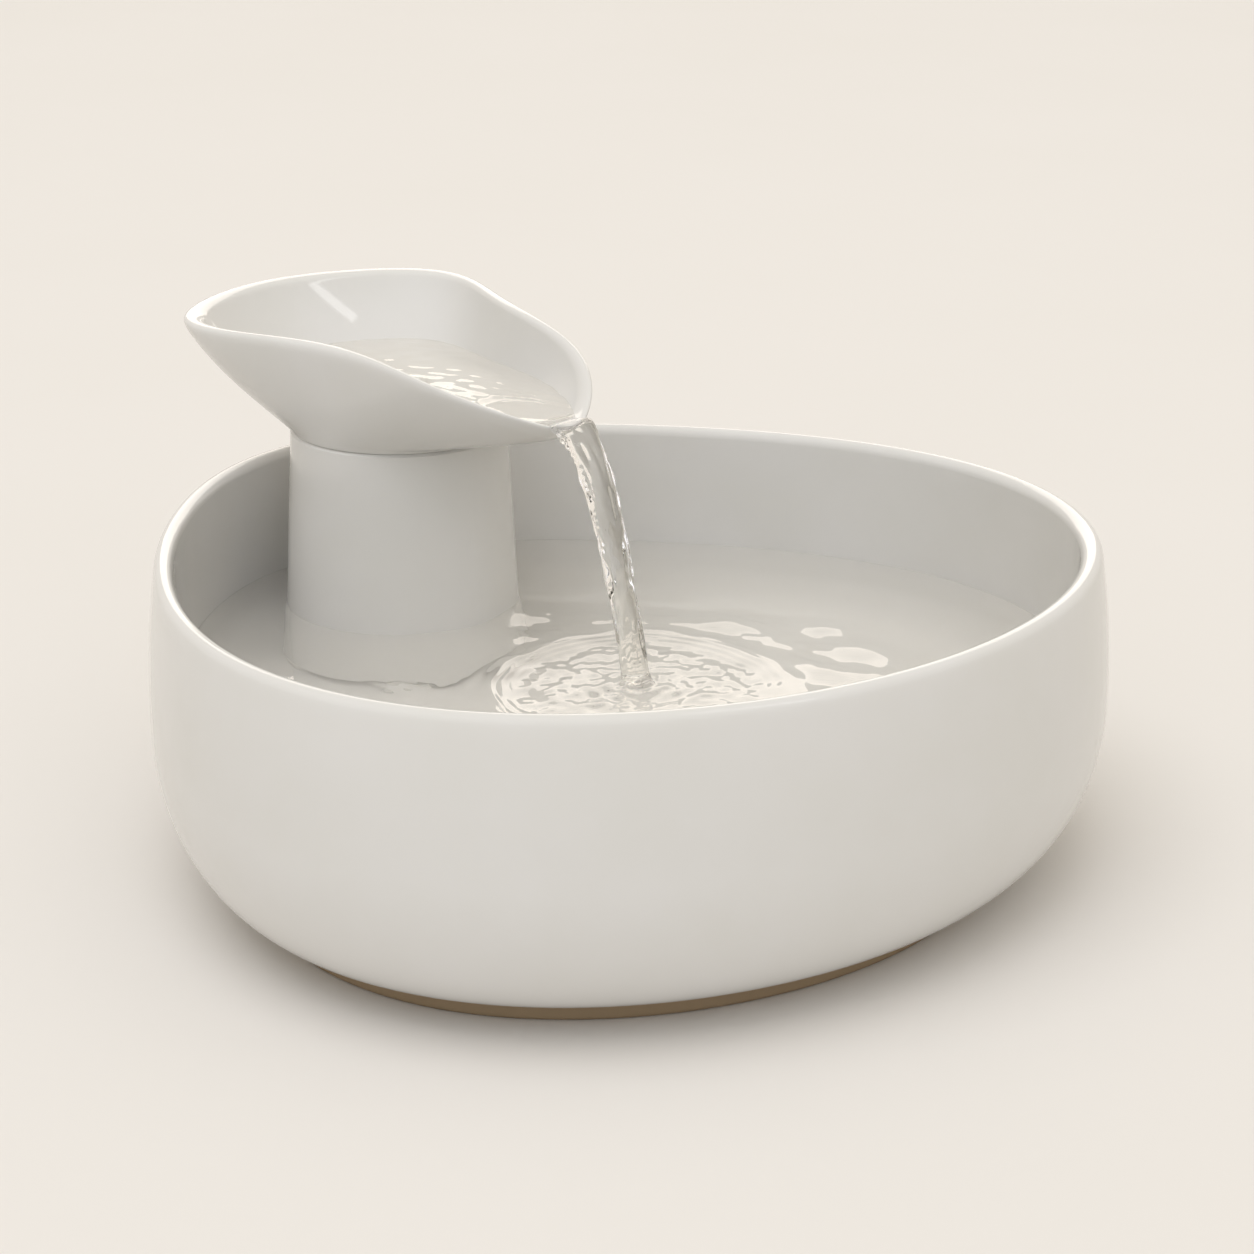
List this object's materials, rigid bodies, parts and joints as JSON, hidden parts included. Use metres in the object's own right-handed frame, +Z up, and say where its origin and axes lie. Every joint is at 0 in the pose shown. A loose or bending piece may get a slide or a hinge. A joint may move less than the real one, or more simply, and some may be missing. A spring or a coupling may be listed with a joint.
{
  "type": "pet water fountain",
  "caption": "Glazed ceramic drinking bowl with a freeform spout dish on a hollow column that pours a stream into the bowl; a small submersible pump stands in the column.",
  "frame": {"origin": "on the surface that the foot ring stands on, under the middle of the object's bounding box", "axes": "+Z up; +X from the column towards the wide end of the bowl, the way the water pours; the column axis is vertical at x = -0.08495, y = 0"},
  "size_m": [0.309, 0.3001, 0.1531],
  "materials": {
    "glazed_ceramic": "glossy off-white glaze",
    "silicone": "translucent white silicone, satin",
    "clear_hose": "milky silicone hose, satin",
    "white_plastic": "moulded ABS, satin",
    "black_plastic": "moulded ABS, fine matte grain",
    "grey_plastic": "moulded acetal, satin",
    "black_rubber": "moulded rubber, matte",
    "potting_epoxy": "cast epoxy, glossy",
    "core_steel": "stacked laminations, bare edges",
    "nylon": "moulded nylon, satin",
    "copper": "enamelled copper wire",
    "ferrite": "pressed ferrite, matt grey",
    "steel_shaft": "ground stainless steel",
    "foam": "open-cell reticulated foam"
  },
  "bodies": {
    "bowl": {"bowl": "glazed_ceramic", "riser_hose": "clear_hose", "outlet_adapter": "black_plastic", "pump_housing": "black_plastic", "epoxy_fill": "potting_epoxy", "stator_core": "core_steel", "coil_bobbin": "nylon", "coil_winding": "copper", "rotor_shaft": "steel_shaft", "rear_bush": "silicone", "front_bush": "silicone", "volute_cover": "black_plastic", "cover_seal": "silicone", "strainer": "black_plastic", "suction_cups": "silicone", "cable_gland": "black_rubber", "foam_prefilter": "foam"},
    "tower": {"column": "glazed_ceramic", "column_pads": "silicone"},
    "dish_seal": {"dish_seal": "silicone"},
    "dish": {"spout_dish": "glazed_ceramic", "inlet_grommet": "silicone", "inlet_tube": "white_plastic", "outlet_cap": "white_plastic"},
    "rotor": {"rotor_magnet": "ferrite", "impeller": "white_plastic"},
    "slider": {"flow_slider": "grey_plastic"}
  },
  "joints": [
    {"name": "tower_lift", "type": "slide", "parent": "bowl", "child": "tower", "axis": [0, 0, 1], "range_m": [0, 0.105]},
    {"name": "dish_lift", "type": "slide", "parent": "tower", "child": "dish_seal", "axis": [0, 0, 1], "range_m": [0, 0.02]},
    {"name": "dish_turn", "type": "hinge", "parent": "dish_seal", "child": "dish", "pos_m": [-0.08495, 0, 0.1183], "axis": [0, 0, 1], "range_deg": [-30, 30]},
    {"name": "impeller_spin", "type": "hinge", "parent": "bowl", "child": "rotor", "pos_m": [-0.08495, 0, 0.0375], "axis": [1, 0, 0], "continuous": true},
    {"name": "flow_slide", "type": "slide", "parent": "bowl", "child": "slider", "axis": [0, -1, 0], "range_m": [0, 0.007]}
  ]
}
